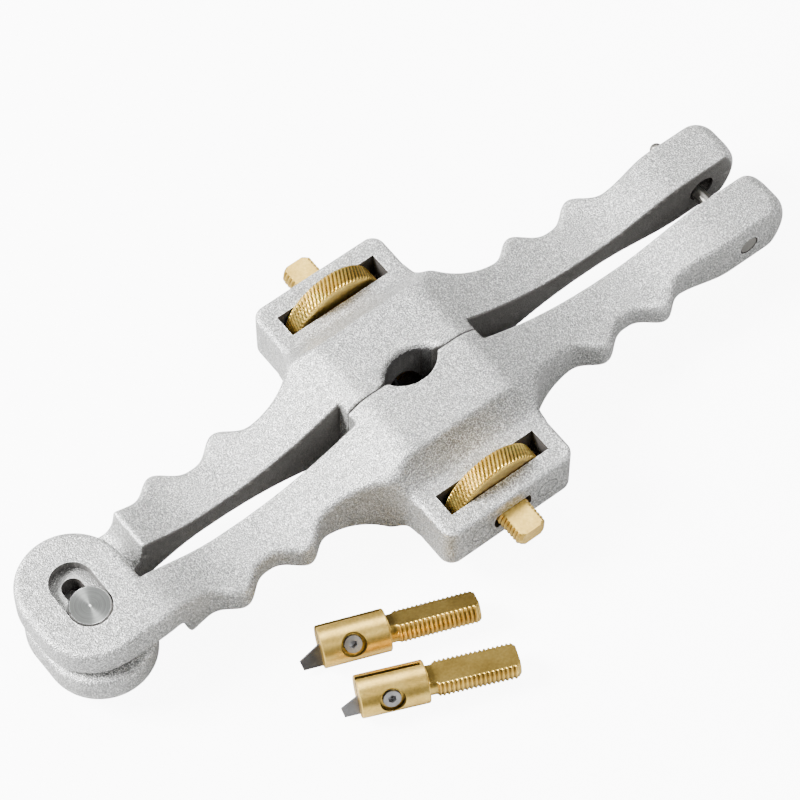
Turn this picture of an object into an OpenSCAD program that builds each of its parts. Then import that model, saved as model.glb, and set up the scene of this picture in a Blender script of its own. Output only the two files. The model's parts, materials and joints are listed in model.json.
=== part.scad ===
// Two-handled cable jacket cutter. Two mirror-image cast halves close round a cable that stands
// in the vertical bore. Each half carries a blade cartridge that a captive thumb wheel winds in.
// X runs along the handles, with the pivot at -X. Y runs through the two cartridges, with the
// front half at -Y. Z is the axis of the cable bore, and z = 0 is the mid-plane of the castings.

/* [Cable bore and centre block] */
// Half width of the cable bore along the seam
bore_x = 9; // [7:0.5:10]
// Radius of the hollow in each half, which together make a lens-shaped bore
jaw_r = 10.4; // [10.1:0.1:14]
// Half height of the centre block
block_h = 17.5; // [15:0.5:20]
// Half length of the flat top of the block
flat_x = 17.5; // [15:0.5:20]
// Depth of the flat top of the block, from the seam
flat_y = 21; // [18:0.5:24]
// Half width of the block at the seam, and of the wheel frame
frame_x = 22; // [20:0.5:26]

/* [Wheel frame] */
// Distance from the seam to the root of the wheel frame
frame_y0 = 31.4; // [30:0.2:32]
// Distance from the seam to the outer face of the wheel frame
frame_y1 = 45; // [43:0.5:48]
// Half height of the wheel frame
frame_h = 8.5; // [7:0.5:10]
// Radius of the frame's upright corners
frame_corner = 4; // [2:0.5:6]
// Half length of the wheel window
window_x = 16.7; // [16.5:0.1:18]
// Inner edge of the wheel window
window_y0 = 32; // [31.6:0.1:33]
// Outer edge of the wheel window
window_y1 = 39.2; // [38.8:0.1:40]

/* [Handles] */
// Half of the gap between the two handles
gap_y = 3.7; // [2:0.1:5]
// Half thickness of a handle at its slimmest
grip_h = 4.5; // [4:0.1:6]
// Distance from the bore to the slimmest place
grip_x = 64; // [58:1:70]
// Depth of the finger hollows, from the seam
hollow_y = 17.6; // [15:0.1:20]
// Height of the ridges between the fingers
ridge = 5; // [3:0.1:6]
// Distance from the bore to the first ridge
ridge_x = 51.8; // [48:0.1:56]
// Spacing of the finger ridges
ridge_pitch = 21.2; // [19:0.1:24]
// Half thickness of the free end
end_h = 8.9; // [8:0.1:10]
// Distance from the bore to the free end
end_x = 121.5; // [115:0.5:125]
// Depth of the handle at its free end, from the seam
end_y = 19.2; // [17:0.1:21]

/* [Pivot] */
// Distance from the bore to the pivot
pivot_x = 110; // [105:1:115]
// Thickness from the mid-plane to the outer face of an ear
ear_top = 10.8; // [10:0.1:12]
// Half of the space between the two ears
ear_gap = 0.55; // [0.5:0.05:1]
// Radius of the rounded ends of an ear
ear_r = 15.7; // [14:0.1:18]
// Distance from the pivot to the foot of the shoulder beside the other ear
shoulder_foot = 17.6; // [17.4:0.1:19]
// Distance from the pivot to the upright end of a handle
shoulder_top = 21.4; // [19:0.1:24]
// Travel of the pin along the slot
slot_travel = 8.4; // [6:0.1:10]
// Offset of the middle of the slot from the seam
slot_mid = 1.4; // [0:0.1:2]
// Radius of the pin's shank
pin_r = 3; // [2.5:0.1:4]
// Radius of the pin's head
head_r = 6; // [5:0.1:7]
// Depth of the counterbore that takes the pin's head
head_depth = 3.2; // [2.5:0.1:4]
// Radius of the spacer washer between the ears
washer_r = 13; // [8:0.5:14]

/* [Alignment pin] */
// Distance from the bore to the alignment pin
dowel_x = 106; // [100:0.5:108]
// Radius of the alignment pin
dowel_r = 2; // [1.5:0.1:2.5]
// Radius of the clearance hole in the rear handle
dowel_hole_r = 4.2; // [4.1:0.1:4.5]

/* [Wheels and blade cartridges] */
// Radius of a thumb wheel
wheel_r = 14.9; // [14.2:0.1:16.3]
// Width of a thumb wheel
wheel_w = 5.8; // [5:0.1:6.6]
// Radius of a cartridge's head
holder_r = 6; // [5.5:0.1:6.5]
// Length of a cartridge's head
holder_len = 19; // [18:0.5:22]
// Radius of a cartridge's threaded stem
stem_r = 5; // [4.5:0.1:5]
// Thickness of the stem across its flats
stem_flats = 5.5; // [4.5:0.1:6]
// Distance from the bore axis to the front of an installed cartridge's head
holder_y = 9.2; // [6.5:0.1:9.6]
// Length from the front of a cartridge's head to the end of its stem
cartridge_len = 44.6; // [42:0.2:50]
// How far the blade stands out of the head
blade_out = 6.1; // [4:0.1:6.3]

/* [Hidden] */
$fn = 64;

fit = 0.05;                                   // radial clearance of a running fit
step = 2;                                     // spacing of the points along a curved outline
neck_len = 2.4;
neck_r = 4.1;
blade_t = 1.1;
blade_low = -5.2;                             // lower and upper edges of the blade
blade_high = 2.8;
blade_slot = 1.2;
screw_y = 8.6;                                // set screw, from the front of the head
screw_r = 2.5;
dowel_tip_y = 23.8;
wheel_gap = 0.3;
slot_front = slot_mid - slot_travel / 2;
slot_rear = slot_mid + slot_travel / 2;
hollow_x = ridge_x - ridge_pitch / 2;         // middle of the first finger hollow
grip_end = ridge_x + 1.5 * ridge_pitch;       // middle of the last finger hollow
rise_x = 69;                                  // where the handle starts to thicken again
rise_end = 101;                               // where it is at its full thickness
floor_z = -block_h;
cast = [0.78, 0.79, 0.78];
steel = [0.6, 0.62, 0.62];
brass = [0.83, 0.66, 0.3];
carbide = [0.3, 0.3, 0.3];

// Smooth step from 0 to 1 while v goes from a to b
function ease(v, a, b) = v <= a ? 0 : v >= b ? 1 : (1 - cos(180 * (v - a) / (b - a))) / 2;

// Half thickness of a casting at a distance x from the bore: a flat block, a hollow slope down
// to the grip, and a rise to the full thickness of that end
function half_height(x, full) =
    x < flat_x ? block_h
    : x < grip_x ? grip_h + (block_h - grip_h) * pow((grip_x - x) / (grip_x - flat_x), 2)
    : grip_h + (full - grip_h) * ease(x, rise_x, rise_end);

// Depth of a handle from the seam: the flank of the block, the finger ridges, then the plain end
function depth(x, at_end) =
    x < hollow_x ? frame_y0 - (frame_y0 - hollow_y)
        * sqrt(1 - pow((hollow_x - x) / (hollow_x - frame_x), 2))
    : x < grip_end ? hollow_y + ridge * pow((1 + cos(360 * (x - ridge_x) / ridge_pitch)) / 2, 1.5)
    : hollow_y + (at_end - hollow_y) * ease(x, grip_end, grip_end + 16);

// A stadium that runs along Y between two centres at the pivot
module stadium(y0, y1, r) {
    translate([-pivot_x, y0]) circle(r);
    translate([-pivot_x, y1]) circle(r);
    translate([-pivot_x - r, y0]) square([2 * r, y1 - y0]);
}

// Outline of the front half from above, without its ear
module half_plan() {
    left = [for (x = [pivot_x : -step : frame_x]) [-x, -depth(x, ear_r - slot_front)]];
    right = [for (x = [frame_x + 0.01 : step : end_x - 8]) [x, -depth(x, end_y)]];
    corner = [for (a = [0 : 15 : 90]) [end_x - 7 + 7 * sin(a), 7 - end_y - 7 * cos(a)]];
    inner = [for (a = [0 : 15 : 90]) [end_x - 5 + 5 * cos(a), -gap_y - 5 + 5 * sin(a)]];
    polygon(concat(left, right, corner, inner,
        [[frame_x, -gap_y], [frame_x, 0], [-frame_x, 0], [-frame_x, -gap_y], [-pivot_x, -gap_y]]));
}

// Outline of the wheel frame from above, overlapping the block
module frame_plan() {
    translate([-frame_x, -frame_y1 + frame_corner]) square([2 * frame_x, frame_y1 - frame_corner]);
    translate([-frame_x + frame_corner, -frame_y1])
        square([2 * (frame_x - frame_corner), frame_corner + 1]);
    for (side = [-1, 1])
        translate([side * (frame_x - frame_corner), -frame_y1 + frame_corner]) circle(frame_corner);
}

// Side profile of a casting, seen along Y
module length_profile() {
    left = concat([for (x = [pivot_x + ear_r + 1 : -step : flat_x + 1])
            [-x, min(ear_top, half_height(x, ear_top + 0.8))]],
        [[-flat_x, block_h]]);
    right = [for (x = [flat_x : step : end_x + 1]) [x, half_height(x, end_h)]];
    top = concat(left, right);
    n = len(top);
    polygon(concat(top, [for (i = [n - 1 : -1 : 0]) [top[i][0], -top[i][1]]]));
}

// End profile of a casting, seen along X: the block slopes down to the frame in a hollow curve
module depth_profile() {
    top = concat([[1, block_h]],
        [for (i = [0 : 6]) [-flat_y - (frame_y0 - flat_y) * i / 6,
            frame_h + (block_h - frame_h) * pow(1 - i / 6, 2)]],
        [[-frame_y1 - 1, frame_h]]);
    n = len(top);
    polygon(concat(top, [for (i = [n - 1 : -1 : 0]) [top[i][0], -top[i][1]]]));
}

// Space that the other half's ear turns in, below this half's ear. Its wall is hollow: level at
// the foot beside the ear and upright where it meets the handle's underside.
module ear_pocket() {
    foot = -pivot_x + shoulder_foot;
    wall = [for (a = [0 : 10 : 90])
        [foot + (shoulder_top - shoulder_foot) * sin(a), ear_gap - (ear_gap + end_h) * (1 - cos(a))]];
    translate([0, 30, 0]) rotate([90, 0, 0]) linear_extrude(70)
        polygon(concat([[foot - 60, ear_gap]], wall,
            [[-pivot_x + shoulder_top, -block_h], [foot - 60, -block_h]]));
}

// The plain casting of one half, in the place of the front one
module casting() {
    difference() {
        union() {
            intersection() {
                translate([0, 0, -block_h]) linear_extrude(2 * block_h) union() {
                    half_plan();
                    frame_plan();
                }
                translate([0, 5, 0]) rotate([90, 0, 0]) linear_extrude(60) length_profile();
                translate([-140, 0, 0]) rotate([90, 0, 90]) linear_extrude(280) depth_profile();
            }
            translate([0, 0, ear_gap]) linear_extrude(ear_top - ear_gap)
                stadium(slot_front, slot_rear, ear_r);
        }
        ear_pocket();
        translate([0, sqrt(jaw_r * jaw_r - bore_x * bore_x), 0])
            cylinder(r = jaw_r, h = 3 * block_h, center = true);
        translate([-window_x, -window_y1, -block_h])
            cube([2 * window_x, window_y1 - window_y0, 2 * block_h]);
        // channel for the head of the cartridge
        rotate([90, 0, 0]) cylinder(r = holder_r + fit, h = window_y0 + 1);
        // flat-sided hole for the stem
        intersection() {
            translate([0, -window_y1 + 1, 0]) rotate([90, 0, 0])
                cylinder(r = stem_r + 1.4, h = frame_y1 - window_y1 + 2);
            translate([-10, -frame_y1 - 1, -stem_flats / 2 - 2 * fit])
                cube([20, frame_y1 - window_y1 + 3, stem_flats + 4 * fit]);
        }
    }
}

module front_handle() {
    color(cast) difference() {
        casting();
        // through slot and counterbore for the sliding pin
        linear_extrude(ear_top + 1) stadium(slot_front, slot_rear, pin_r + fit);
        translate([0, 0, ear_top - head_depth]) linear_extrude(head_depth + 1)
            stadium(slot_front, slot_rear, head_r + 2 * fit);
        // seat of the alignment pin
        translate([dowel_x, 0, 0]) rotate([90, 0, 0]) cylinder(r = dowel_r + 0.02, h = 30);
        translate([dowel_x, -end_y + 4, 0]) rotate([90, 0, 0]) cylinder(r = dowel_r + 0.8, h = 10);
    }
}

module rear_handle() {
    color(cast) difference() {
        rotate([180, 0, 0]) casting();
        translate([-pivot_x, slot_front, -ear_top - 1]) cylinder(r = pin_r + fit, h = ear_top + 1);
        translate([-pivot_x, slot_front, -ear_top - 1]) cylinder(r = head_r + 2 * fit, h = 1 + head_depth);
        translate([dowel_x + 1.7, 0, 0]) rotate([-90, 0, 0]) cylinder(r = dowel_hole_r, h = 30);
    }
}

// Headed pin, bored from below for the screw
module pivot_pin() {
    color(steel) translate([-pivot_x, slot_front, 0]) difference() {
        union() {
            translate([0, 0, ear_top - head_depth + fit]) cylinder(r = head_r, h = head_depth - 0.45);
            translate([0, 0, ear_top - 0.45 + fit]) cylinder(r1 = head_r, r2 = head_r - 0.4, h = 0.4);
            translate([0, 0, -ear_top + head_depth + fit])
                cylinder(r = pin_r, h = 2 * ear_top - 2 * head_depth);
        }
        translate([0, 0, -ear_top]) cylinder(r = pin_r - 1.2, h = ear_top + 2);
    }
}

// Screw with a broad head that closes the pin from below
module pivot_screw() {
    color(steel) translate([-pivot_x, slot_front, -ear_top]) difference() {
        union() {
            translate([0, 0, 0.4]) cylinder(r = head_r, h = head_depth - 0.4 - fit);
            cylinder(r1 = head_r - 0.4, r2 = head_r, h = 0.4);
            cylinder(r = pin_r - 1.2 - 0.05, h = ear_top - 1);
        }
        // screwdriver slot
        translate([-head_r, -0.6, -1]) cube([2 * head_r, 1.2, 2.2]);
    }
}

module pivot_washer() {
    color(steel) translate([-pivot_x, slot_front, -ear_gap + 0.05]) difference() {
        cylinder(r = washer_r, h = 2 * ear_gap - 0.1);
        translate([0, 0, -1]) cylinder(r = pin_r + fit, h = 4);
    }
}

// Headed dowel: flush in the front handle, domed where it passes the rear handle
module alignment_pin() {
    color(steel) translate([dowel_x, 0, 0]) rotate([-90, 0, 0]) rotate_extrude() {
        translate([0, -end_y + 0.1]) square([dowel_r + 0.8 - fit, 3.9 - 0.1]);
        translate([0, -end_y + 1]) square([dowel_r, dowel_tip_y - dowel_r + end_y - 1]);
        intersection() {
            translate([0, dowel_tip_y - dowel_r]) circle(dowel_r);
            translate([0, dowel_tip_y - dowel_r - 0.01]) square(dowel_r + 1);
        }
    }
}

// Thumb wheel on the cartridge axis, near the outer wall of the window
module wheel() {
    bevel = 1;
    translate([0, window_y1 - wheel_gap - wheel_w / 2, 0]) rotate([90, 0, 0]) difference() {
        rotate_extrude() polygon([[0, -wheel_w / 2], [wheel_r - bevel, -wheel_w / 2],
            [wheel_r, bevel - wheel_w / 2], [wheel_r, wheel_w / 2 - bevel],
            [wheel_r - bevel, wheel_w / 2], [0, wheel_w / 2]]);
        cylinder(r = stem_r + fit, h = 2 * wheel_w, center = true);
    }
}

// Cartridge body along +Y from the front of its head: head, neck and flat-sided stem.
// The flats are cut at an angle to the blade slot that varies a little from one to the next
module holder(flats_turn = 0) {
    stem_y = holder_len + neck_len;
    end_bevel = 1.2;
    difference() {
        union() {
            rotate([-90, 0, 0]) cylinder(r = holder_r, h = holder_len);
            rotate([-90, 0, 0]) cylinder(r = neck_r, h = stem_y + 1);
            intersection() {
                translate([0, stem_y, 0]) rotate([-90, 0, 0]) rotate_extrude()
                    polygon([[0, 0], [stem_r, 0], [stem_r, cartridge_len - stem_y - end_bevel],
                        [stem_r - end_bevel, cartridge_len - stem_y], [0, cartridge_len - stem_y]]);
                rotate([0, flats_turn, 0]) translate([-10, 0, -stem_flats / 2])
                    cube([20, cartridge_len, stem_flats]);
            }
        }
        // slot for the blade
        translate([-blade_slot / 2, -1, -10]) cube([blade_slot, holder_len, 20]);
        // counterbored hole for the set screw
        translate([0, screw_y, 0]) rotate([0, 90, 0]) cylinder(r = screw_r, h = 10);
        translate([holder_r - 1.6, screw_y, 0]) rotate([0, 90, 0]) cylinder(r = 3.6, h = 10);
    }
}

// Blade plate in the slot, low at the tip and slanted up to its full width inside the head
module blade() {
    translate([blade_t / 2, 0, 0]) rotate([0, -90, 0]) linear_extrude(blade_t)
        polygon([[blade_low, holder_len - 2.4], [blade_low, 0.6 - blade_out],
            [blade_low + 2.6, -blade_out], [blade_high, 3.2], [blade_high, holder_len - 2.4]]);
}

// Socket set screw that presses on the blade
module set_screw() {
    translate([blade_t / 2, screw_y, 0]) rotate([0, 90, 0]) difference() {
        cylinder(r = screw_r - fit, h = 4.2);
        translate([0, 0, 2.2]) cylinder(r = 1.25, h = 3, $fn = 6);
    }
}

// Places a cartridge piece in a half of the tool: side is -1 for the front, 1 for the rear
module installed(side) {
    rotate([0, 0, side < 0 ? 180 : 0]) translate([0, holder_y, 0]) children();
}

// Lays a spare cartridge on the surface, rolled so that its screw faces up to one side
module laid_out(x, y, turn, roll) {
    translate([x, y, floor_z + holder_r + 0.02]) rotate([0, 0, turn - 90]) rotate([0, roll, 0])
        children();
}

module spare_1() {
    laid_out(-63.1, -40.85, -21.4, -45) children();
}

module spare_2() {
    laid_out(-64, -58.9, -23.3, -31) children();
}

front_handle();
rear_handle();
pivot_pin();
pivot_screw();
pivot_washer();
alignment_pin();
color(brass) rotate([0, 0, 180]) wheel();  // front_wheel
color(brass) wheel();  // rear_wheel
color(brass) installed(-1) holder();  // front_blade_holder
color(carbide) installed(-1) blade();  // front_blade
color(steel) installed(-1) set_screw();  // front_set_screw
color(brass) installed(1) holder();  // rear_blade_holder
color(carbide) installed(1) blade();  // rear_blade
color(steel) installed(1) set_screw();  // rear_set_screw
color(brass) spare_1() holder(13);  // spare_holder_1
color(carbide) spare_1() blade();  // spare_blade_1
color(steel) spare_1() set_screw();  // spare_set_screw_1
color(brass) spare_2() holder(20);  // spare_holder_2
color(carbide) spare_2()  // spare_blade_2
    translate([0, 1.2, 0]) blade();
color(steel) spare_2() set_screw();  // spare_set_screw_2
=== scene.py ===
import bpy, bmesh, json, math
import numpy as np
from mathutils import Vector, Matrix

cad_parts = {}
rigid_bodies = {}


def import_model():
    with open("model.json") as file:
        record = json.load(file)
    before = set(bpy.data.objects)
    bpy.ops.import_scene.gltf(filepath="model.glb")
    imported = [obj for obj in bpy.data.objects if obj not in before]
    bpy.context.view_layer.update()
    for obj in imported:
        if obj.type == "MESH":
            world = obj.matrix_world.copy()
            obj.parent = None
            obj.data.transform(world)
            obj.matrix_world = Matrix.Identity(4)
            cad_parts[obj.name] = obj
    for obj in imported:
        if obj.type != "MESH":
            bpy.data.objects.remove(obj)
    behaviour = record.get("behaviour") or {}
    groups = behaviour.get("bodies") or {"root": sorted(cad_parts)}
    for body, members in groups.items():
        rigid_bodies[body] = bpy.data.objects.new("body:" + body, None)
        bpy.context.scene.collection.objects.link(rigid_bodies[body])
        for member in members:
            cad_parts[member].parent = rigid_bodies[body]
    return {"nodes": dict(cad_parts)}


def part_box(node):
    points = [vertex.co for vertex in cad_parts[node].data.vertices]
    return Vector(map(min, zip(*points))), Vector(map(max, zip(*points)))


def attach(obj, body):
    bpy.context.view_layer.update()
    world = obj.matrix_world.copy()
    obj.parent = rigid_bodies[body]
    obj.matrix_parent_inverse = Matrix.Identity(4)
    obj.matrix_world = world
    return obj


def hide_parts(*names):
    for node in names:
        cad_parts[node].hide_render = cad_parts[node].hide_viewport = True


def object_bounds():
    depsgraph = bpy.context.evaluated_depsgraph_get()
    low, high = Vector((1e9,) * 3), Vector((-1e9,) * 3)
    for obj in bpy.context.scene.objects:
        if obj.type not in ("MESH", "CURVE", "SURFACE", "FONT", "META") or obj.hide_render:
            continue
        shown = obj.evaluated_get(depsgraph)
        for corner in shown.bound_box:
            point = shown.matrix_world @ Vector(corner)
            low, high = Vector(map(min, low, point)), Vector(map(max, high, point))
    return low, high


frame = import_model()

cad_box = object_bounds()
MM = 0.001


def mm_box(node):
    lo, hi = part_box(node)
    return [v * 1000 for v in lo], [v * 1000 for v in hi]


# ---------------------------------------------------------------- sizes, in mm, from the frame
front_lo, front_hi = mm_box("front_handle")
pin_lo, pin_hi = mm_box("pivot_pin")
wheel_lo, wheel_hi = mm_box("rear_wheel")
holder_lo, holder_hi = mm_box("rear_blade_holder")
dowel_lo, dowel_hi = mm_box("alignment_pin")

BLOCK_H = front_hi[2]
END_X = front_hi[0]
FRAME_Y1 = -front_lo[1]
PIVOT_X = -(pin_lo[0] + pin_hi[0]) / 2
PIN_Y = (pin_lo[1] + pin_hi[1]) / 2
HEAD_R = (pin_hi[0] - pin_lo[0]) / 2
EAR_R = -front_lo[0] - PIVOT_X
EAR_TOP = -mm_box("pivot_screw")[0][2]
SLOT_REAR = front_hi[1] - EAR_R
SLOT_FRONT = PIN_Y
WHEEL_R = (wheel_hi[2] - wheel_lo[2]) / 2
WHEEL_Y0, WHEEL_Y1 = wheel_lo[1], wheel_hi[1]
HOLDER_R = (holder_hi[0] - holder_lo[0]) / 2
HOLDER_Y = holder_lo[1]
CARTRIDGE_LEN = holder_hi[1] - holder_lo[1]
DOWEL_X = (dowel_lo[0] + dowel_hi[0]) / 2
DOWEL_PLUG_R = (dowel_hi[0] - dowel_lo[0]) / 2
END_Y = 0.1 - dowel_lo[1]  # the alignment pin ends 0.1 below the outer face

# The other dimensions repeat the CAD model's, because a box does not give them
FRAME_X, FRAME_Y0, FRAME_H, FRAME_CORNER = 22.0, 31.4, 8.5, 4.0
FLAT_X, FLAT_Y = 17.5, 21.0
GAP_Y, GRIP_H, GRIP_X = 3.7, 4.5, 64.0
HOLLOW_Y, RIDGE, RIDGE_X, RIDGE_PITCH = 17.6, 5.0, 51.8, 21.2
END_H, RISE_X, RISE_END = 8.9, 69.0, 101.0
END_DOME, DOME_X, END_R, END_IN = 3.4, 100.0, 5.5, 4.0
HOLLOW_X = RIDGE_X - RIDGE_PITCH / 2
GRIP_END = RIDGE_X + 1.5 * RIDGE_PITCH
EAR_GAP = 0.55
FOOT, SHOULDER = 17.6, 21.4
BORE_X, JAW_R = 9.0, 10.4
JAW_Y = math.sqrt(JAW_R ** 2 - BORE_X ** 2)
WINDOW_X, WINDOW_Y0, WINDOW_Y1 = 16.7, 32.0, 39.2
HEAD_DEPTH, PIN_R = 3.2, 3.0
DOWEL_HOLE_R = 4.2
STEM_R, STEM_FLATS, NECK_LEN, NECK_R = 5.0, 5.5, 2.4, 4.1
HOLDER_LEN, SCREW_Y, PITCH, THREAD, STEM_BEVEL = 19.0, 8.6, 1.25, 0.5, 1.2
BLADE_SLOT, SCREW_BORE, SCREW_BORE_DEPTH, SCREW_HOLE_R = 1.2, 3.6, 2.0, 2.62
HEAD_CORE, HEAD_EDGE_FRONT, HEAD_EDGE_REAR = 3.0, 0.25, 0.3
SEAM, RUNNING_FIT = 0.15, 0.05
EAR_LIFT, GRIP_FADE, DOWEL_SHIFT = 0.8, 16, 1.7
STEM_HOLE_R, STEM_HOLE_HALF_H = 6.4, 3.1
TEETH, TOOTH, HELIX, RIM = 72, 0.75, 30, 2.2  # the helix in degrees
BEVEL, HUB_R = 0.5, 5.2
EJECTOR_X, EJECTOR_R = (12.1, -10.7), 3.3
# the floor under the block gets a painted shadow of this half-width
UNDER_BLOCK_SHADOW = 14  # half-width of the floor that only shows through the bore
BEYOND = 60  # further out than any edge of an outline that stays open there
THROUGH = 30  # further up and down than the castings reach

# Radii of the castings' edges and fillets
ROUND_TOP, ROUND_PLAN, ROUND_SEAM, ROUND_POCKET, ROUND_EAR, ROUND_FRAME = 1.6, 2.0, 0.8, 1.2, 1.8, 1.2
FILLET_EAR, FILLET_FRAME = 0.4, 1.2
BORE_RIM_UNDER, BORE_RIM_TOP = 2.2, 0.2

# Where each spare lies (x, y), its turn about the vertical and its roll, and how far its flats are off square
SPARES = {"spare_1": (-63.1, -40.85, -21.4, -45), "spare_2": (-64.0, -58.9, -23.3, -31)}
FLATS_TURN = {"spare_1": 13, "spare_2": 20}

# Material slots of the castings and of the cartridges: all but the plain ones are painted shade, some over a
# real machined finish
PLAIN, INNER_SHADE, CUT_SHADE, MILLED_SHADE, BORE_SHADE = range(5)
HOLDER_PLAIN, HOLDER_SHADE, HOLDER_FLATS_SHADE = range(3)

CAMERA_AZIMUTH, CAMERA_ELEVATION, CAMERA_LENS, CAMERA_SENSOR = -37.76, 60.11, 171.9, 36
CAMERA_BACK, CAMERA_LEFT, CAMERA_DOWN = 1.05554, 0.003164, 0.000564  # metres

# ---------------------------------------------------------------- castings
STEP = 0.5  # spacing of the distance grid


def ease(v, a, b):
    """0 before a, 1 after b, and half a cosine wave between."""
    return (1 - np.cos(np.pi * np.clip((v - a) / (b - a), 0, 1))) / 2


def half_height(x):
    """Half the casting's height along its length, highest at the block."""
    a = np.abs(x)
    full = np.where(x < 0, EAR_TOP + EAR_LIFT, END_H)
    slope = GRIP_H + (BLOCK_H - GRIP_H) * (np.clip(GRIP_X - a, 0, None) / (GRIP_X - FLAT_X)) ** 2
    rise = np.minimum(GRIP_H + (full - GRIP_H) * ease(a, RISE_X, RISE_END), EAR_TOP)
    return np.where(a < FLAT_X, BLOCK_H, np.where(a < GRIP_X, slope, rise))


def depth(a, at_end):
    """How far the outer edge stands from the seam, at a distance a from the bore."""
    along = (HOLLOW_X - a) / (HOLLOW_X - FRAME_X)
    flank = FRAME_Y0 - (FRAME_Y0 - HOLLOW_Y) * np.sqrt(np.clip(1 - along ** 2, 0, 1))
    fingers = HOLLOW_Y + RIDGE * ((1 + np.cos(2 * np.pi * (a - RIDGE_X) / RIDGE_PITCH)) / 2) ** 1.5
    tail = HOLLOW_Y + (at_end - HOLLOW_Y) * ease(a, GRIP_END, GRIP_END + GRIP_FADE)
    return np.where(a < HOLLOW_X, flank, np.where(a < GRIP_END, fingers, tail))


def round_cut(a, b, r):
    """The space inside both distances, its edge rounded."""
    return np.minimum(np.maximum(a, b), -r) + np.hypot(np.maximum(a + r, 0), np.maximum(b + r, 0))


def round_join(a, b, r):
    """The space inside either distance, with a fillet between."""
    return -round_cut(-a, -b, r)


def outline(px, py, poly):
    """Signed distance to a closed outline, negative inside."""
    best = np.full(px.shape, 1e9)
    inside = np.zeros(px.shape, bool)
    for (ax, ay), (bx, by) in zip(poly, np.roll(poly, -1, 0)):
        ex, ey = bx - ax, by - ay
        wx, wy = px - ax, py - ay
        t = np.clip((wx * ex + wy * ey) / max(ex * ex + ey * ey, 1e-12), 0, 1)
        best = np.minimum(best, (wx - ex * t) ** 2 + (wy - ey * t) ** 2)
        if ay != by:
            cross = (ay > py) != (by > py)
            inside ^= cross & (px < ax + (py - ay) * ex / ey)
    return np.where(inside, -1, 1) * np.sqrt(best)


def blur(v, n):
    """Smooths a row of values over n of them, twice."""
    k = np.ones(n) / n
    for _ in range(2):
        v = np.convolve(np.pad(v, n // 2, "edge"), k, "valid")[:len(v)]
    return v


def net(d, origin, h):
    """Surface net of a distance grid: (vertices, quads)."""
    s = d < 0
    n = [k - 1 for k in d.shape]
    count = np.zeros(n, np.int8)
    for i in (0, 1):
        for j in (0, 1):
            for k in (0, 1):
                count += s[i:i + n[0], j:j + n[1], k:k + n[2]]
    act = (count > 0) & (count < 8)
    cells = np.argwhere(act)
    ids = np.full(act.shape, -1, np.int64)
    ids[act] = np.arange(len(cells))
    acc = np.zeros((len(cells), 3))
    num = np.zeros(len(cells))
    for axis in range(3):
        u, w = [a for a in range(3) if a != axis]
        for bu in (0, 1):
            for bw in (0, 1):
                p0 = cells.copy()
                p0[:, u] += bu
                p0[:, w] += bw
                p1 = p0.copy()
                p1[:, axis] += 1
                a, b = d[tuple(p0.T)], d[tuple(p1.T)]
                m = (a < 0) != (b < 0)
                q = p0.astype(float)
                q[:, axis] += np.where(m, a / np.where(m, a - b, 1), 0)
                acc[m] += q[m]
                num[m] += 1
    verts = acc / num[:, None] * h + origin
    quads = []
    for axis in range(3):
        u, w = (axis + 1) % 3, (axis + 2) % 3
        low = s.take(np.arange(s.shape[axis] - 1), axis)
        high = s.take(np.arange(1, s.shape[axis]), axis)
        e = np.argwhere(low != high)
        e = e[(e[:, u] > 0) & (e[:, w] > 0) & (e[:, u] < s.shape[u] - 1) & (e[:, w] < s.shape[w] - 1)]

        def cell(du, dw):
            q = e.copy()
            q[:, u] -= du
            q[:, w] -= dw
            return ids[tuple(q.T)]

        quad = np.stack([cell(1, 1), cell(0, 1), cell(0, 0), cell(1, 0)], 1)
        flip = ~s[tuple(e.T)]
        quad[flip] = quad[flip][:, ::-1]
        quads.append(quad)
    return verts, np.concatenate(quads)


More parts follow.
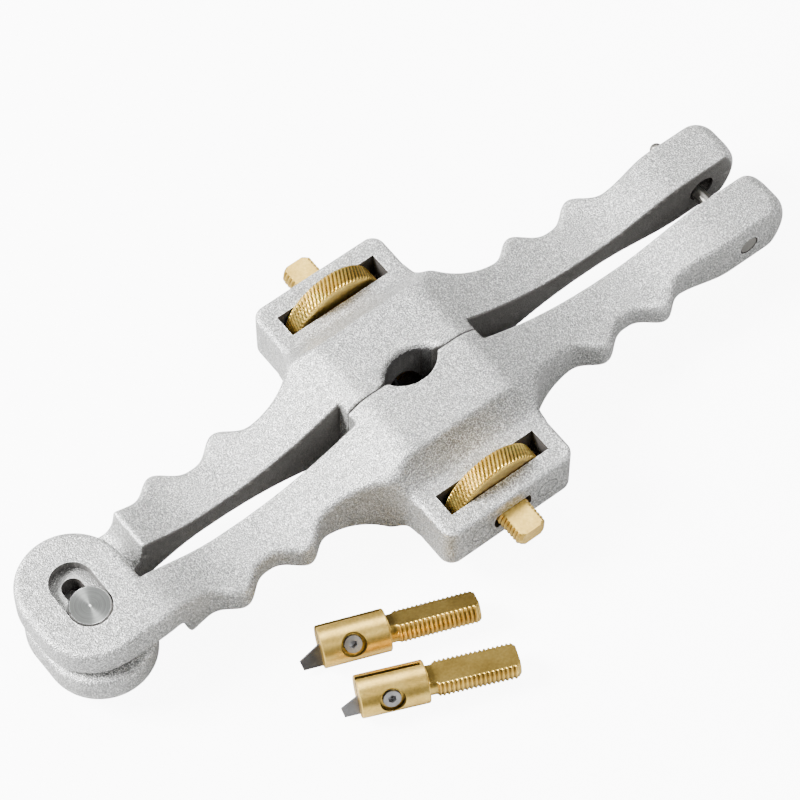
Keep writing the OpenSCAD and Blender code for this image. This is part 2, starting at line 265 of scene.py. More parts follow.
def casting():
    """One half without its crisp cuts, in the front half's place, in mm. v is the depth from the seam."""
    h = STEP
    x = np.arange(front_lo[0] - 2 * h, END_X + 3 * h, h)
    v = np.arange(-front_hi[1] - 2 * h, FRAME_Y1 + 3 * h, h)
    z = np.arange(-BLOCK_H - 2 * h, BLOCK_H + 3 * h, h)
    X2, V2 = np.meshgrid(x, v, indexing="ij")

    a = np.arange(FRAME_X, PIVOT_X + 0.5, 0.75)
    left = np.stack([-a[::-1], depth(a, EAR_R - SLOT_FRONT)[::-1]], 1)
    b = np.arange(FRAME_X, END_X - END_R, 0.75)
    right = np.stack([b, depth(b, END_Y)], 1)
    t = np.radians(np.arange(0, 91, 10))
    corner = np.stack([END_X - END_R + END_R * np.sin(t), END_Y - END_R + END_R * np.cos(t)], 1)
    outer = np.concatenate([[[-PIVOT_X, -BEYOND]], left, right, corner, [[END_X, -BEYOND]]])
    d_out = outline(X2, V2, outer)
    t = np.radians(np.arange(0, 71, 10))
    arc = np.stack([END_X - END_IN + END_IN * np.sin(t), GAP_Y + END_IN - END_IN * np.cos(t)], 1)
    end = arc[-1] + BEYOND * np.array([math.cos(t[-1]), math.sin(t[-1])])
    step = [[-FRAME_X, GAP_Y], [-FRAME_X, SEAM], [FRAME_X, SEAM], [FRAME_X, GAP_Y]]
    far_x, far_v = 200, 120
    inner = np.concatenate([[[-far_x, far_v], [-far_x, GAP_Y]], step, arc, [end, [far_x, far_v]]])
    d_in = outline(X2, V2, inner)
    ear_v = np.clip(V2, -SLOT_REAR, -SLOT_FRONT)
    d_ear = np.hypot(X2 + PIVOT_X, V2 - ear_v) - EAR_R
    qx, qv = np.abs(X2) - FRAME_X + FRAME_CORNER, V2 - FRAME_Y1 + FRAME_CORNER
    d_frame = np.hypot(np.maximum(qx, 0), np.maximum(qv, 0)) + np.minimum(np.maximum(qx, qv), 0)
    frame_from = 20  # within the block
    d_frame = np.maximum(d_frame - FRAME_CORNER, frame_from - V2)
    d_bore = np.hypot(X2, V2 + JAW_Y) - JAW_R

    H = blur(half_height(x), max(3, int(3.4 / h) | 1))
    H = np.minimum(H, BLOCK_H)
    sx = np.sqrt(1 + np.gradient(H, h) ** 2)
    tt = np.clip((v - FLAT_Y) / (FRAME_Y0 - FLAT_Y), 0, 1)
    D = np.where(v < FLAT_Y, BLOCK_H + (FLAT_Y - v) * 0.3, FRAME_H + (BLOCK_H - FRAME_H) * (1 - tt) ** 2)
    sv = np.sqrt(1 + np.gradient(D, h) ** 2)
    X3, Z3 = np.meshgrid(x, z, indexing="ij")
    az = np.abs(z)
    d_len = (az[None, :] - H[:, None]) / sx[:, None]
    d_dep = (az[None, :] - D[:, None]) / sv[:, None]
    foot = -PIVOT_X + FOOT
    t = np.radians(np.arange(0, 91, 10))
    wall_z = EAR_GAP - (EAR_GAP + END_H) * (1 - np.cos(t))
    wall = np.stack([foot + (SHOULDER - FOOT) * np.sin(t), wall_z], 1)
    low = [[-PIVOT_X + SHOULDER, -BEYOND], [foot - 70, -BEYOND]]
    pocket = np.concatenate([[[foot - 70, EAR_GAP]], wall, low])
    d_pocket = outline(X3, Z3, pocket)

    # the free end is domed: the plan is read further out, the further a height is from the middle
    back = END_DOME * np.minimum(1, (z / END_H) ** 2)
    at = (x[:, None] + back[None, :] * ease(x, DOME_X, END_X - 6)[:, None] - x[0]) / h
    i0 = np.clip(at.astype(int), 0, len(x) - 2)
    f = (at - i0)[:, :, None]

    def domed(d):
        return np.moveaxis(d[i0] * (1 - f) + d[i0 + 1] * f, 2, 1)

    body = round_cut(d_len[:, None, :], d_dep[None, :, :], ROUND_TOP)
    body = round_cut(body, domed(d_out), ROUND_PLAN)
    body = round_cut(body, domed(d_in), ROUND_SEAM)
    body = round_cut(body, -d_pocket[:, None, :], ROUND_POCKET)
    d_z = np.maximum(z - EAR_TOP, EAR_GAP - z)
    ear = round_cut(np.broadcast_to(d_z, (1, 1, len(z))), d_ear[:, :, None], ROUND_EAR)
    body = round_join(body, ear, FILLET_EAR)
    fr = round_cut(np.broadcast_to(az - FRAME_H, (1, 1, len(z))), d_frame[:, :, None], ROUND_FRAME)
    body = round_join(body, fr, FILLET_FRAME)
    rim = np.where(z < 0, BORE_RIM_UNDER, BORE_RIM_TOP)
    shrink = np.where(z < 0, 0.0, BORE_RIM_TOP)
    body = round_cut(body, -(d_bore[:, :, None] + shrink), rim[None, None, :])
    verts, quads = net(body.astype(np.float32), np.array([x[0], v[0], z[0]]), h)
    verts[:, 1] *= -1
    return verts, quads[:, ::-1]


def to_mesh(name, verts, faces, smooth=True):
    me = bpy.data.meshes.new(name)
    if isinstance(faces, np.ndarray):
        faces = faces.tolist()
    me.from_pydata(np.asarray(verts) * MM, [], faces)
    me.update()
    if smooth:
        me.shade_smooth()
    return me


def add(name, me, body=None, stands_for=()):
    ob = bpy.data.objects.new(name, me)
    bpy.context.scene.collection.objects.link(ob)
    if body:
        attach(ob, body)
    if stands_for:
        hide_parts(*stands_for)
    return ob


def clip_to(verts, node):
    """Keeps a mesh within its node's box."""
    lo, hi = mm_box(node)
    return np.clip(verts, lo, hi)


def prism(poly, lo, hi, axis="z"):
    """A closed prism along an axis, over an outline in the other two: (y, z), (x, z) or (x, y)."""
    n = len(poly)
    if axis == "z":
        v = [(p[0], p[1], h) for h in (lo, hi) for p in poly]
    elif axis == "y":
        v = [(p[0], h, p[1]) for h in (hi, lo) for p in poly]
    else:
        v = [(h, p[0], p[1]) for h in (lo, hi) for p in poly]
    f = [list(range(n))[::-1], list(range(n, 2 * n))]
    f += [[i, (i + 1) % n, n + (i + 1) % n, n + i] for i in range(n)]
    return v, f


def circle(cx, cy, r, n=96):
    turns = [2 * math.pi * i / n for i in range(n)]
    return [(cx + r * math.cos(t), cy + r * math.sin(t)) for t in turns]


def slotted(cx, y0, y1, r, n=48):
    """A slot's outline, with a half circle round (cx, y1) and one round (cx, y0)."""
    arc = [(r * math.cos(math.pi * i / n), r * math.sin(math.pi * i / n)) for i in range(n + 1)]
    return [(cx + x, y1 + y) for x, y in arc] + [(cx - x, y0 - y) for x, y in arc]


def cut(ob, cutters, turn=False):
    """Cuts prisms out of a mesh, exactly; turn puts them on the half that is turned over."""
    for v, f in cutters:
        v = np.array(v, float)
        if turn:
            v = v * (1, -1, -1)
        c = bpy.data.objects.new("cutter", to_mesh("cutter", v, f, False))
        bpy.context.scene.collection.objects.link(c)
        m = ob.modifiers.new("cut", "BOOLEAN")
        m.object = c
        m.solver = "EXACT"
        dg = bpy.context.evaluated_depsgraph_get()
        me = bpy.data.meshes.new_from_object(ob.evaluated_get(dg))
        ob.modifiers.clear()
        old = ob.data
        ob.data = me
        bpy.data.meshes.remove(old)
        cutter_mesh = c.data
        bpy.data.objects.remove(c)
        bpy.data.meshes.remove(cutter_mesh)


def box2(x0, x1, y0, y1):
    return [(x0, y0), (x1, y0), (x1, y1), (x0, y1)]


verts, quads = casting()
stem_hole = [(x, max(-STEM_HOLE_HALF_H, min(STEM_HOLE_HALF_H, z))) for x, z in circle(0, 0, STEM_HOLE_R)]
common = [
    prism(box2(-WINDOW_X, WINDOW_X, -WINDOW_Y1, -WINDOW_Y0), -THROUGH, THROUGH),
    prism(circle(0, JAW_Y, JAW_R, 192), -THROUGH, THROUGH),
    prism(circle(0, 0, HOLDER_R + RUNNING_FIT), -WINDOW_Y0 - 1, 2, "y"),
    prism(stem_hole, -FRAME_Y1 - 2, -WINDOW_Y1 + 1, "y"),
]
front_only = [
    prism(slotted(-PIVOT_X, SLOT_FRONT, SLOT_REAR, PIN_R + RUNNING_FIT), -2, EAR_TOP + 2),
    prism(slotted(-PIVOT_X, SLOT_FRONT, SLOT_REAR, HEAD_R + 0.3), EAR_TOP - HEAD_DEPTH, EAR_TOP + 2),
    prism(circle(DOWEL_X, 0, DOWEL_PLUG_R + 0.4, 48), -END_Y - 2, -END_Y + 2, "y"),
]
front = add("front_casting", to_mesh("front_casting", clip_to(verts, "front_handle"), quads))
turned = verts * (1, -1, -1)
rear = add("rear_casting", to_mesh("rear_casting", clip_to(turned, "rear_handle"), quads))
cut(front, common + front_only)
cut(rear, common, True)
rear_only = [
    prism(circle(DOWEL_X + DOWEL_SHIFT, 0, DOWEL_HOLE_R, 64), 1, 30, "y"),
    prism(circle(-PIVOT_X, SLOT_FRONT, PIN_R + RUNNING_FIT, 48), -20, 5),
    prism(circle(-PIVOT_X, SLOT_FRONT, HEAD_R + 0.1, 48), -20, -EAR_TOP + HEAD_DEPTH),
]
cut(rear, rear_only)
for ob, body, node in ((front, "front_half", "front_handle"), (rear, "rear_half", "rear_handle")):
    ob.data.shade_smooth()
    ob.data.set_sharp_from_angle(angle=math.radians(38))
    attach(ob, body)
    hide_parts(node)

# ---------------------------------------------------------------- wheels


def grid_mesh(name, rings, cap=True):
    """Quads between rings of m points; cap closes the first and the last ring with a face."""
    n, m = len(rings), len(rings[0])
    v = np.concatenate(rings)
    side = [(j, (j + 1) % m) for j in range(m)]
    f = [[i + a, i + b, i + m + b, i + m + a] for i in range(0, (n - 1) * m, m) for a, b in side]
    if cap:
        f += [list(range(m))[::-1], [(n - 1) * m + j for j in range(m)]]
    return to_mesh(name, v, f)


def wheel(name, body, node, side):
    """A thumb wheel: a ring round its hub, its rim cut with slanting teeth."""
    m = TEETH * 8
    w = WHEEL_Y1 - WHEEL_Y0
    chamfer = np.arange(0, BEVEL, 0.1)
    rim = np.concatenate([chamfer, np.linspace(BEVEL, w - BEVEL, 8), w - chamfer[::-1]])
    steps = [(0, HUB_R, 0), (0, WHEEL_R - RIM, 0)]  # how far along, radius, 1 where there are teeth
    steps += [(y, WHEEL_R, 1) for y in rim] + [(w, WHEEL_R - RIM, 0), (w, HUB_R, 0)]
    th = np.arange(m) / m * 2 * np.pi
    rings = []
    for y, r, k in steps:
        turn = math.tan(math.radians(HELIX)) * (y - w / 2) / WHEEL_R * (1 if side > 0 else -1)
        wave = (1 - np.cos(TEETH * (th + turn))) / 2
        rr = np.minimum(r - k * TOOTH * wave, WHEEL_R - TOOTH + 1.5 * min(y, w - y))
        rings.append(np.stack([rr * np.cos(th), np.full(m, side * (WHEEL_Y0 + y)), rr * np.sin(th)], 1))
    rings.append(rings[0])
    me = grid_mesh(name, rings, False)
    bm = bmesh.new()
    bm.from_mesh(me)
    bmesh.ops.remove_doubles(bm, verts=bm.verts, dist=1e-7)
    bmesh.ops.recalc_face_normals(bm, faces=bm.faces)
    bm.to_mesh(me)
    bm.free()
    me.shade_smooth()
    me.set_sharp_from_angle(angle=math.radians(50))
    return add(name, me, body, (node,))


wheel("front_knurled_wheel", "front_thumb_wheel", "front_wheel", -1)
wheel("rear_knurled_wheel", "rear_thumb_wheel", "rear_wheel", 1)

# ---------------------------------------------------------------- cartridges


def stem_mesh(name, flats_turn):
    """Neck and threaded, flat-sided stem along +Y from the rear of the head, its flats turned about Y."""
    base = np.linspace(0, 2 * np.pi, 96, endpoint=False)
    flat = [math.asin(STEM_FLATS / 2 / r) for r in (STEM_R, STEM_R - THREAD)]
    extra = [s * a + o for a in flat for s in (1, -1) for o in (0, math.pi)]
    th = np.sort(np.concatenate([base, np.array(extra) % (2 * np.pi)]))
    y0 = HOLDER_LEN - 1
    y1 = HOLDER_LEN + NECK_LEN
    ys = [y0, HOLDER_LEN + 0.3, HOLDER_LEN + 0.5, y1 - 0.3]
    ys += list(np.arange(y1, CARTRIDGE_LEN - 1e-6, PITCH / (8))) + [CARTRIDGE_LEN]
    rings = []
    for y in ys:
        if y < y1:
            r = np.full(len(th), NECK_R)
            thick = 2 * NECK_R if y < HOLDER_LEN + 0.4 else STEM_FLATS
        else:
            phase = ((y / PITCH - th / (2 * np.pi)) % 1.0)
            tri = np.abs(phase - 0.5) * 2
            r = STEM_R - THREAD * np.clip((tri - 0.12) / 0.76, 0, 1)
            r = np.minimum(r, STEM_R - np.clip(y - (CARTRIDGE_LEN - STEM_BEVEL), 0, STEM_BEVEL))
            r = np.minimum(r, NECK_R + 0.2 + (y - y1) * 1.2)
            thick = STEM_FLATS
        r = np.minimum(r, thick / 2 / np.maximum(np.abs(np.sin(th)), 1e-6))
        rings.append(np.stack([r * np.cos(th), np.full(len(th), y), r * np.sin(th)], 1))
    me = grid_mesh(name, rings)
    fix_normals(me)
    me.transform(Matrix.Rotation(math.radians(flats_turn), 4, "Y"))
    return me


def lathe(profile, n=96):
    """Rings of a profile [(y, r)] round Y."""
    th = np.arange(n) / n * 2 * np.pi
    return [np.stack([r * np.cos(th), np.full(n, y), r * np.sin(th)], 1) for y, r in profile]


def fix_normals(me):
    bm = bmesh.new()
    bm.from_mesh(me)
    bmesh.ops.recalc_face_normals(bm, faces=bm.faces)
    bm.to_mesh(me)
    bm.free()


def head_mesh():
    """The holder's round head, with the blade's slot and the set screw's counterbored hole."""
    r = HOLDER_R
    prof = [(0, HEAD_CORE), (0, r - HEAD_EDGE_FRONT), (HEAD_EDGE_FRONT, r)]
    prof += [(HOLDER_LEN - HEAD_EDGE_REAR, r), (HOLDER_LEN, r - HEAD_EDGE_REAR), (HOLDER_LEN, HEAD_CORE)]
    me = grid_mesh("head", lathe(prof, 128))
    fix_normals(me)
    ob = bpy.data.objects.new("head", me)
    bpy.context.scene.collection.objects.link(ob)
    cut(ob, [
        prism(box2(-1, HOLDER_LEN - 1, -r - 2, r + 2), -BLADE_SLOT / 2, BLADE_SLOT / 2, "x"),
        prism(circle(SCREW_Y, 0, SCREW_BORE, 64), r - SCREW_BORE_DEPTH, r + 4, "x"),
        prism(circle(SCREW_Y, 0, SCREW_HOLE_R, 64), 0, r + 4, "x"),
    ])
    me = ob.data
    bpy.data.objects.remove(ob)
    return me


HEAD = head_mesh()


def joined(name, meshes):
    """One mesh of several, smooth but for its real edges."""
    bm = bmesh.new()
    for me in meshes:
        bm.from_mesh(me)
    out = bpy.data.meshes.new(name)
    bm.to_mesh(out)
    bm.free()
    out.shade_smooth()
    out.set_sharp_from_angle(angle=math.radians(35))
    return out


def shade_slot(p, flats_turn):
    """The slot of a face: painted shade in the blade's slot and round the set screw, and a slot for the
    stem's machined flats, painted shade on the spares.
    """
    x, y, z = p.center / MM
    if y > HOLDER_LEN:
        turn = Matrix.Rotation(-math.radians(flats_turn), 3, "Y")
        on_flat = abs((turn @ p.center).z) > (STEM_FLATS / 2 - 0.1) * MM
        return HOLDER_FLATS_SHADE if on_flat and abs((turn @ p.normal).z) > 0.98 else HOLDER_PLAIN
    slot = abs(p.normal.x) > 0.95 and abs(x) < BLADE_SLOT
    bore = abs(p.normal.x) < 0.5 and math.hypot(y - SCREW_Y, z) < SCREW_BORE + 0.1 and x > 0
    return HOLDER_SHADE if slot or bore else HOLDER_PLAIN


def node_place(prefix):
    """Where a cartridge lies: its own frame at the front of the head, Y along it, Z across the flats."""
    if prefix == "front":
        return Matrix.Rotation(math.pi, 4, "Z") @ Matrix.Translation((0, HOLDER_Y * MM, 0))
    if prefix == "rear":
        return Matrix.Translation((0, HOLDER_Y * MM, 0))
    x, y, turn, roll = SPARES[prefix]
    place = Matrix.Translation((x * MM, y * MM, (-BLOCK_H + HOLDER_R + 0.02) * MM))
    about = Matrix.Rotation(math.radians(turn - 90), 4, "Z")
    return place @ about @ Matrix.Rotation(math.radians(roll), 4, "Y")


SHADE_SLOTS = {}
CARTS = {
    "front": ("front_cartridge", "front_blade_holder"),
    "rear": ("rear_cartridge", "rear_blade_holder"),
    "spare_1": ("spare_cartridge_1", "spare_holder_1"),
    "spare_2": ("spare_cartridge_2", "spare_holder_2"),
}
for key, (body, node) in CARTS.items():
    turn = FLATS_TURN.get(key, 0)
    me = joined(key + "_cartridge", [HEAD, stem_mesh("stem", turn)])
    # per face: plain, or painted shade in the slots and on the flats
    SHADE_SLOTS[key] = [shade_slot(p, turn) for p in me.polygons]
    me.transform(node_place(key))
    add(key + "_threaded_holder", me, body, (node,))

# ---------------------------------------------------------------- small turned parts keep the CAD shape
for name in ("front_blade", "rear_blade", "spare_blade_1", "spare_blade_2"):
    m = frame["nodes"][name].modifiers.new("edge", "BEVEL")
    m.width, m.segments, m.limit_method = 0.00008, 1, "ANGLE"
for name in ("front_set_screw", "rear_set_screw", "spare_set_screw_1", "spare_set_screw_2"):
    m = frame["nodes"][name].modifiers.new("edge", "BEVEL")
    m.width, m.segments, m.limit_method = 0.00015, 2, "ANGLE"

# ---------------------------------------------------------------- materials


class Nodes:
    """A material's node tree, with short ways to add and join its nodes."""

    def __init__(self, name):
        self.mat = bpy.data.materials.new(name)
        self.mat.use_nodes = True
        self.t = self.mat.node_tree
        self.p = self.t.nodes["Principled BSDF"]

    def new(self, kind, **inputs):
        n = self.t.nodes.new(kind)
        for k, v in inputs.items():
            self.put(n, k, v)
        return n

    def put(self, n, key, v):
        """Sets or links an input by its name, or by its number as _0."""
        self.assign(n.inputs[int(key[1:])] if key[0] == "_" else n.inputs[key.replace("_", " ")], v)

    def assign(self, s, v):
        if isinstance(v, bpy.types.NodeSocket):
            self.t.links.new(v, s)
        else:
            s.default_value = v

    def math(self, op, a, b=0.0, c=0.0):
        n = self.t.nodes.new("ShaderNodeMath")
        n.operation = op
        self.put(n, "_0", a)
        self.put(n, "_1", b)
        self.put(n, "_2", c)
        return n.outputs[0]

    def noise(self, where, scale, detail=2.0, rough=0.5):
        n = self.new("ShaderNodeTexNoise", Vector=where, Scale=scale, Detail=detail, Roughness=rough)
        return n.outputs["Fac"]

    def ramp(self, v, stops):
        n = self.t.nodes.new("ShaderNodeValToRGB")
        self.put(n, "_0", v)
        e = n.color_ramp.elements
        while len(e) < len(stops):
            e.new(0.5)
        for el, (pos, col) in zip(e, stops):
            el.position = pos
            el.color = (*col, 1) if len(col) == 3 else col
        return n.outputs["Color"]

    def mix(self, f, a, b, blend="MIX"):
        n = self.t.nodes.new("ShaderNodeMix")
        n.data_type = "RGBA"
        n.blend_type = blend
        sockets = {s.identifier: s for s in n.inputs}
        self.assign(sockets["Factor_Float"], f)
        for key, v in (("A_Color", a), ("B_Color", b)):
            self.assign(sockets[key], (*v, 1) if isinstance(v, tuple) and len(v) == 3 else v)
        return [o for o in n.outputs if o.identifier == "Result_Color"][0]

    def multiply(self, a, b, f=1.0):
        return self.mix(f, a, b, "MULTIPLY")

    def bump(self, height, strength, distance):
        n = self.new("ShaderNodeBump", Height=height, Strength=strength, Distance=distance)
        self.t.links.new(n.outputs["Normal"], self.p.inputs["Normal"])
        return n


def painted_edge_light(m, dark, light):
    """Painted shade in hollows and painted highlights on arrises, from the mesh's own curvature."""
    v = m.new("ShaderNodeNewGeometry").outputs["Pointiness"]
    return m.ramp(v, [(0.44, (dark,) * 3), (0.49, (1, 1, 1)), (0.51, (1, 1, 1)), (0.55, (light,) * 3)])


def axis_distance(m, u, v):
    """How far a point lies from an axis, from its two offsets."""
    return m.math("SQRT", m.math("ADD", m.math("MULTIPLY", u, u), m.math("MULTIPLY", v, v)))


def cast_material(name, tone, warm, rough, metal, grain):
    """Blasted cast aluminium: fine bright and dark specks on a grey of the given tone."""
    m = Nodes(name)
    pos = m.new("ShaderNodeTexCoord").outputs["Object"]
    fine = m.noise(pos, 2900, 1, 0.5)
    mid = m.noise(pos, 900, 2, 0.6)
    broad = m.noise(pos, 40, 3, 0.5)
    speck = m.math("ADD", m.math("MULTIPLY", fine, 0.8), m.math("MULTIPLY", mid, 0.2))
    dark, lit = tone * (1 - 0.5 * grain), min(1, tone * (1 + 1.7 * grain))
    shade = m.ramp(speck, [(0.34, (dark,) * 3), (0.52, (tone,) * 3), (0.62, (lit,) * 3)])
    cloud = m.ramp(broad, [(0.35, (0.94, 0.94, 0.93)), (0.65, (1.0, 1.0, 1.0))])
    col = m.multiply(m.multiply(shade, cloud), warm)
    # painted shade in the hollows and painted highlights on the arrises
    col = m.multiply(col, painted_edge_light(m, 0.6, 1.6))
    # faint rings left by the ejector pins on the outer faces of the wheel frames
    sep = m.new("ShaderNodeSeparateXYZ", Vector=pos)
    x, y, z = sep.outputs[0], sep.outputs[1], sep.outputs[2]
    mark = None
    for cx in EJECTOR_X:
        dx = m.math("SUBTRACT", x, cx * MM)
        d = axis_distance(m, dx, z)
        band = m.math("COMPARE", d, EJECTOR_R * MM, 0.0002)
        mark = band if mark is None else m.math("MAXIMUM", mark, band)
    mark = m.math("MULTIPLY", mark, m.math("GREATER_THAN", m.math("ABSOLUTE", y), (FRAME_Y1 - 1) * MM))
    col = m.multiply(col, (0.45,) * 3, mark)
    m.t.links.new(col, m.p.inputs["Base Color"])
    m.p.inputs["Metallic"].default_value = metal
    m.p.inputs["Roughness"].default_value = rough
    m.bump(speck, 0.75, 0.0005)
    return m.mat


def painted_knurl_light(m, pos):
    """Painted shade at the roots of a wheel's teeth and painted highlights on their crests, by the distance
    from its axis.
    """
    sep = m.new("ShaderNodeSeparateXYZ", Vector=pos)
    x, y, z = sep.outputs
    r = axis_distance(m, x, z)
    height = m.math("DIVIDE", m.math("SUBTRACT", r, (WHEEL_R - TOOTH) * MM), TOOTH * MM)
    # painted shade low in the teeth and painted highlight on their crests; the wheel's flat sides stay a
    # plain 0.8
    shade = m.ramp(height, [(0.1, (0.12,) * 3), (0.45, (0.7,) * 3), (0.9, (1.35,) * 3)])
    away = m.math("ABSOLUTE", m.math("SUBTRACT", m.math("ABSOLUTE", y), (WHEEL_Y0 + WHEEL_Y1) / 2 * MM))
    side = m.math("GREATER_THAN", away, ((WHEEL_Y1 - WHEEL_Y0) / 2 - BEVEL) * MM)
    return m.mix(side, shade, (0.8, 0.8, 0.8))


def brass_material(name, tone, rough, grain=0.15, knurled=False):
    """Brass with a slow drift of colour, with painted shade in its hollows and painted highlights on its
    arrises or on a knurled wheel's teeth.
    """
    m = Nodes(name)
    pos = m.new("ShaderNodeTexCoord").outputs["Object"]
    n1 = m.noise(pos, 160, 3, 0.6)
    n2 = m.noise(pos, 1400, 2, 0.5)
    v = m.math("ADD", m.math("MULTIPLY", n1, 0.6), m.math("MULTIPLY", n2, 0.4))
    shades = [(0.42, 0.27, 0.055), (0.59, 0.395, 0.09), (0.75, 0.53, 0.14)]
    col = m.ramp(v, [(0.3 + 0.2 * i, tuple(min(1, k * tone) for k in c)) for i, c in enumerate(shades)])
    # painted shade and highlights: at the roots and crests of a knurled wheel's teeth, else in hollows and on
    # arrises
    col = m.multiply(col, painted_knurl_light(m, pos) if knurled else painted_edge_light(m, 0.35, 1.3))
    m.t.links.new(col, m.p.inputs["Base Color"])
    m.p.inputs["Metallic"].default_value = 0.95
    m.p.inputs["Roughness"].default_value = rough
    m.bump(n2, grain, 0.0001)
    return m.mat


def steel_material(name, rgb, rough):
    """Steel with a faint mottle."""
    m = Nodes(name)
    pos = m.new("ShaderNodeTexCoord").outputs["Object"]
    n1 = m.noise(pos, 300, 3, 0.6)
    col = m.ramp(n1, [(0.3, tuple(c * 0.8 for c in rgb)), (0.7, tuple(min(1, c * 1.15) for c in rgb))])
    m.t.links.new(col, m.p.inputs["Base Color"])
    m.p.inputs["Metallic"].default_value = 1.0
    m.p.inputs["Roughness"].default_value = rough
    m.bump(m.noise(pos, 1800, 2, 0.6), 0.2, 0.0001)
    return m.mat


def faced_material(name, rgb, rough):
    """Faced in a lathe: rings round the pin's own axis, with the fan of light that they make, and a painted
    highlight round the rim and at the centre.
    """
    m = Nodes(name)
    pos = m.new("ShaderNodeTexCoord").outputs["Object"]
    sep = m.new("ShaderNodeSeparateXYZ", Vector=pos)
    dx = m.math("ADD", sep.outputs[0], PIVOT_X * MM)
    dy = m.math("SUBTRACT", sep.outputs[1], PIN_Y * MM)
    d = axis_distance(m, dx, dy)
    rings = m.noise(m.new("ShaderNodeCombineXYZ", X=d).outputs[0], 2600, 2, 0.6)
    col = m.ramp(rings, [(0.3, tuple(c * 0.75 for c in rgb)), (0.7, tuple(min(1, c * 1.2) for c in rgb))])
    # painted highlight round the head's rim and at its centre
    rim = m.math("GREATER_THAN", d, (HEAD_R - 0.45) * MM)
    centre_highlight = m.math("LESS_THAN", d, 0.35 * MM)
    col = m.mix(m.math("MAXIMUM", rim, centre_highlight), col, (0.85, 0.86, 0.85))
    m.t.links.new(col, m.p.inputs["Base Color"])
    m.p.inputs["Metallic"].default_value = 1.0
    m.p.inputs["Roughness"].default_value = rough
    m.p.inputs["Anisotropic"].default_value = 0.9
    tangent = m.new("ShaderNodeTangent")
    tangent.direction_type, tangent.axis = "RADIAL", "Z"
    m.t.links.new(tangent.outputs[0], m.p.inputs["Tangent"])
    m.bump(rings, 0.25, 0.00003)
    return m.mat


CAST = cast_material("cast_aluminium", 0.42, (1.0, 1.0, 0.985), 0.42, 0.62, 0.95)
# The inner, cut and bore copies are painted shade for the seam, the holes and the bore; the machined copy is
# a real finish darkened with painted shade
CAST_INNER_SHADE = cast_material("cast_aluminium_inner_painted_shade", 0.2, (1.0, 0.97, 0.94), 0.6, 0.6, 0.2)
CAST_CUT_SHADE = cast_material("cast_aluminium_cut", 0.07, (1.0, 0.93, 0.88), 0.55, 0.6, 0.1)
CAST_MILLED_SHADE = cast_material("cast_aluminium_milled_painted_shade", 0.3, (1.0, 1.0, 0.98), 0.4, 0.9, 0.3)
CAST_BORE_SHADE = cast_material("cast_aluminium_bore_painted_shade", 0.11, (1.0, 0.98, 0.97), 0.6, 0.5, 0.3)
BRASS = brass_material("brass", 1.1, 0.36)
KNURL = brass_material("brass_knurled", 1.4, 0.3, 0.02, knurled=True)
# darker, rougher brass for the spares' stem flats: painted shade
BRASS_FLATS_SHADE = brass_material("brass_flats_painted_shade", 0.3, 0.58)
# dark brass: painted shade in the holders' slots and screw counterbores
BRASS_SHADE = brass_material("brass_painted_shade", 0.15, 0.5)
STEEL = steel_material("turned_steel", (0.5, 0.51, 0.51), 0.3)
FACED = faced_material("faced_steel", (0.13, 0.135, 0.13), 0.34)
SCREW = steel_material("screw_steel", (0.5, 0.5, 0.5), 0.5)
DRAWN = steel_material("drawn_steel", (0.28, 0.27, 0.25), 0.4)
BLADE = steel_material("blade_steel", (0.25, 0.25, 0.255), 0.38)
# near-black steel for the blades inside the bore: painted shade
BLADE_SHADE = steel_material("blade_steel_painted_shade", (0.03, 0.03, 0.031), 0.6)


def paint(ob, mat):
    ob.data.materials.clear()
    ob.data.materials.append(mat)


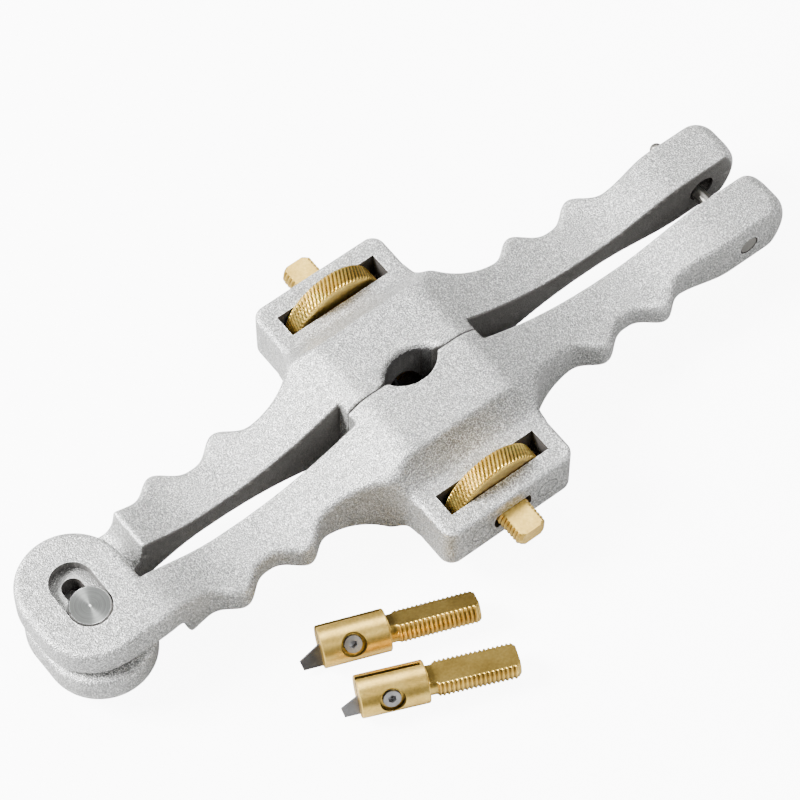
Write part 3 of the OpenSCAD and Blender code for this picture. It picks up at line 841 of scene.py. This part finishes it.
def shade_inside(ob):
    """Paints shade, as darker materials, on the faces toward the seam, the bore's wall and the machined
    pockets.
    """
    me = ob.data
    for mat in (CAST_INNER_SHADE, CAST_CUT_SHADE, CAST_MILLED_SHADE, CAST_BORE_SHADE):
        me.materials.append(mat)
    n = len(me.polygons)
    c = np.empty(n * 3)
    me.polygons.foreach_get("center", c)
    nor = np.empty(n * 3)
    me.polygons.foreach_get("normal", nor)
    c, nor = c.reshape(-1, 3) / MM, nor.reshape(-1, 3)
    side = -1 if "front" in ob.name else 1
    v, toward = c[:, 1] * side, -nor[:, 1] * side
    ax, az = np.abs(c[:, 0]), np.abs(c[:, 2])
    upright, facing_end = np.abs(nor[:, 2]) < 0.5, np.abs(nor[:, 1]) < 0.5
    index = np.full(n, PLAIN, np.int32)
    handle = (c[:, 0] > -PIVOT_X + FOOT + 0.5)
    # the handles' faces toward the seam: painted shade
    index[handle & (v < GAP_Y + 0.35) & (toward > 0.8)] = INNER_SHADE
    # the bore's wall: painted shade
    bore = np.hypot(c[:, 0], v + JAW_Y) < JAW_R + 0.15
    index[bore & (np.abs(nor[:, 2]) < 0.6) & (az < BLOCK_H - 0.8)] = BORE_SHADE
    # the channel, the window's walls and the stem's hole: painted shade
    channel = (np.hypot(c[:, 0], c[:, 2]) < HOLDER_R + 0.2) & (v < WINDOW_Y0)
    window = (ax < WINDOW_X + 0.1) & (v > WINDOW_Y0 - 0.1) & (v < WINDOW_Y1 + 0.1) & upright & (az < FRAME_H)
    hole = (ax < STEM_HOLE_R + 0.1) & (az < STEM_HOLE_HALF_H + 0.1) & (v > WINDOW_Y1 - 0.1) & facing_end
    index[channel | window | hole] = CUT_SHADE
    # counterbore and slot of the pin: painted shade in the slot and on the counterbore's wall
    off_y = np.clip(c[:, 1], SLOT_FRONT, SLOT_REAR if side < 0 else SLOT_FRONT)
    off = np.hypot(c[:, 0] + PIVOT_X, c[:, 1] - off_y)
    index[(off < PIN_R + 0.3) & upright] = CUT_SHADE
    wall = (off > PIN_R + 0.3) & (off < HEAD_R + 0.5) & upright
    index[wall] = np.where(c[wall, 1] < SLOT_FRONT + 3, CUT_SHADE, INNER_SHADE)
    ledge = EAR_TOP - HEAD_DEPTH
    level = (np.abs(nor[:, 2]) > 0.9) & (az < ledge + 0.2) & (az > ledge - 0.2)
    # the counterbore's floor: a machined finish darkened with painted shade
    index[(off < HEAD_R + 0.2) & level] = MILLED_SHADE
    # holes of the alignment pin, in painted shade
    reach = DOWEL_HOLE_R + 0.1 if side > 0 else DOWEL_PLUG_R + 0.5
    off = np.hypot(c[:, 0] - DOWEL_X - (DOWEL_SHIFT if side > 0 else 0), c[:, 2])
    index[(off < reach) & facing_end] = CUT_SHADE
    me.polygons.foreach_set("material_index", index)
    me.update()


for ob in list(bpy.data.objects):
    if ob.type != "MESH":
        continue
    n = ob.name
    if "casting" in n or n in ("front_handle", "rear_handle"):
        paint(ob, CAST)
        shade_inside(ob)
    elif "wheel" in n:
        paint(ob, KNURL)
    elif "blade_holder" in n or "spare_holder" in n:
        paint(ob, BRASS)
    elif "threaded_holder" in n:
        paint(ob, BRASS)
        ob.data.materials.append(BRASS_SHADE)
        # the spares' stem flats get painted shade; in the tool they stay plain brass
        ob.data.materials.append(BRASS_FLATS_SHADE if "spare" in n else BRASS)
        ob.data.polygons.foreach_set("material_index", SHADE_SLOTS[n.replace("_threaded_holder", "")])
    elif "blade" in n:
        # the blades in the tool are painted near-black: painted shade inside the bore
        paint(ob, BLADE if "spare" in n else BLADE_SHADE)
    elif "set_screw" in n:
        paint(ob, SCREW)
    elif n == "alignment_pin":
        paint(ob, DRAWN)
    elif n == "pivot_pin":
        paint(ob, FACED)
    else:
        paint(ob, STEEL)

# ---------------------------------------------------------------- stage, light, camera
me = bpy.data.meshes.new("floor")
f = cad_box[0][2]
me.from_pydata([(-3, -3, f), (3, -3, f), (3, 3, f), (-3, 3, f)], [], [(0, 1, 2, 3)])
floor = bpy.data.objects.new("floor", me)
bpy.context.scene.collection.objects.link(floor)
fm = Nodes("floor")
fm.p.inputs["Base Color"].default_value = (0.5, 0.5, 0.5, 1)
fm.p.inputs["Roughness"].default_value = 0.9
fm.p.inputs["Emission Color"].default_value = (1, 1, 1, 1)
at = fm.new("ShaderNodeVectorMath", _0=fm.new("ShaderNodeTexCoord").outputs["Object"])
at.operation = "LENGTH"
# the floor glows for the camera except for a painted shadow under the block, seen through the bore
outside_painted_shadow = fm.math("GREATER_THAN", at.outputs["Value"], math.hypot(BLOCK_H, UNDER_BLOCK_SHADOW) * MM)
lit = fm.math("MULTIPLY", outside_painted_shadow, 9.0)
seen = fm.new("ShaderNodeLightPath").outputs["Is Camera Ray"]
fm.put(fm.p, "Emission_Strength", fm.math("MULTIPLY", seen, lit))
me.materials.append(fm.mat)


def area(name, place, size, power, aim=(0, 0, 0)):
    light = bpy.data.lights.new(name, "AREA")
    light.energy, light.size = power, size
    ob = bpy.data.objects.new(name, light)
    bpy.context.scene.collection.objects.link(ob)
    ob.location = place
    ob.rotation_euler = (Vector(aim) - ob.location).to_track_quat("-Z", "Y").to_euler()


area("key", (-0.9, 0.68, 0.97), 0.6, 100)
area("top", (0.42, 0.55, 1.2), 0.8, 13)
area("front_top", (0.45, -0.9, 1.2), 0.6, 13)
world = bpy.data.worlds.new("world")
bpy.context.scene.world = world
world.use_nodes = True
world.node_tree.nodes["Background"].inputs[0].default_value = (1, 1, 1, 1)
world.node_tree.nodes["Background"].inputs[1].default_value = 0.09


def camera():
    az, el = math.radians(CAMERA_AZIMUTH), math.radians(CAMERA_ELEVATION)
    back = Vector((math.sin(az) * math.cos(el), -math.cos(az) * math.cos(el), math.sin(el)))
    right = Vector((math.cos(az), math.sin(az), 0))
    up = back.cross(right)
    cam = bpy.data.cameras.new("camera")
    cam.lens, cam.sensor_width, cam.clip_end = CAMERA_LENS, CAMERA_SENSOR, 20
    ob = bpy.data.objects.new("camera", cam)
    bpy.context.scene.collection.objects.link(ob)
    m = Matrix((right, up, back)).transposed().to_4x4()
    m.translation = back * CAMERA_BACK - right * CAMERA_LEFT - up * CAMERA_DOWN
    ob.matrix_world = m
    bpy.context.scene.camera = ob


camera()
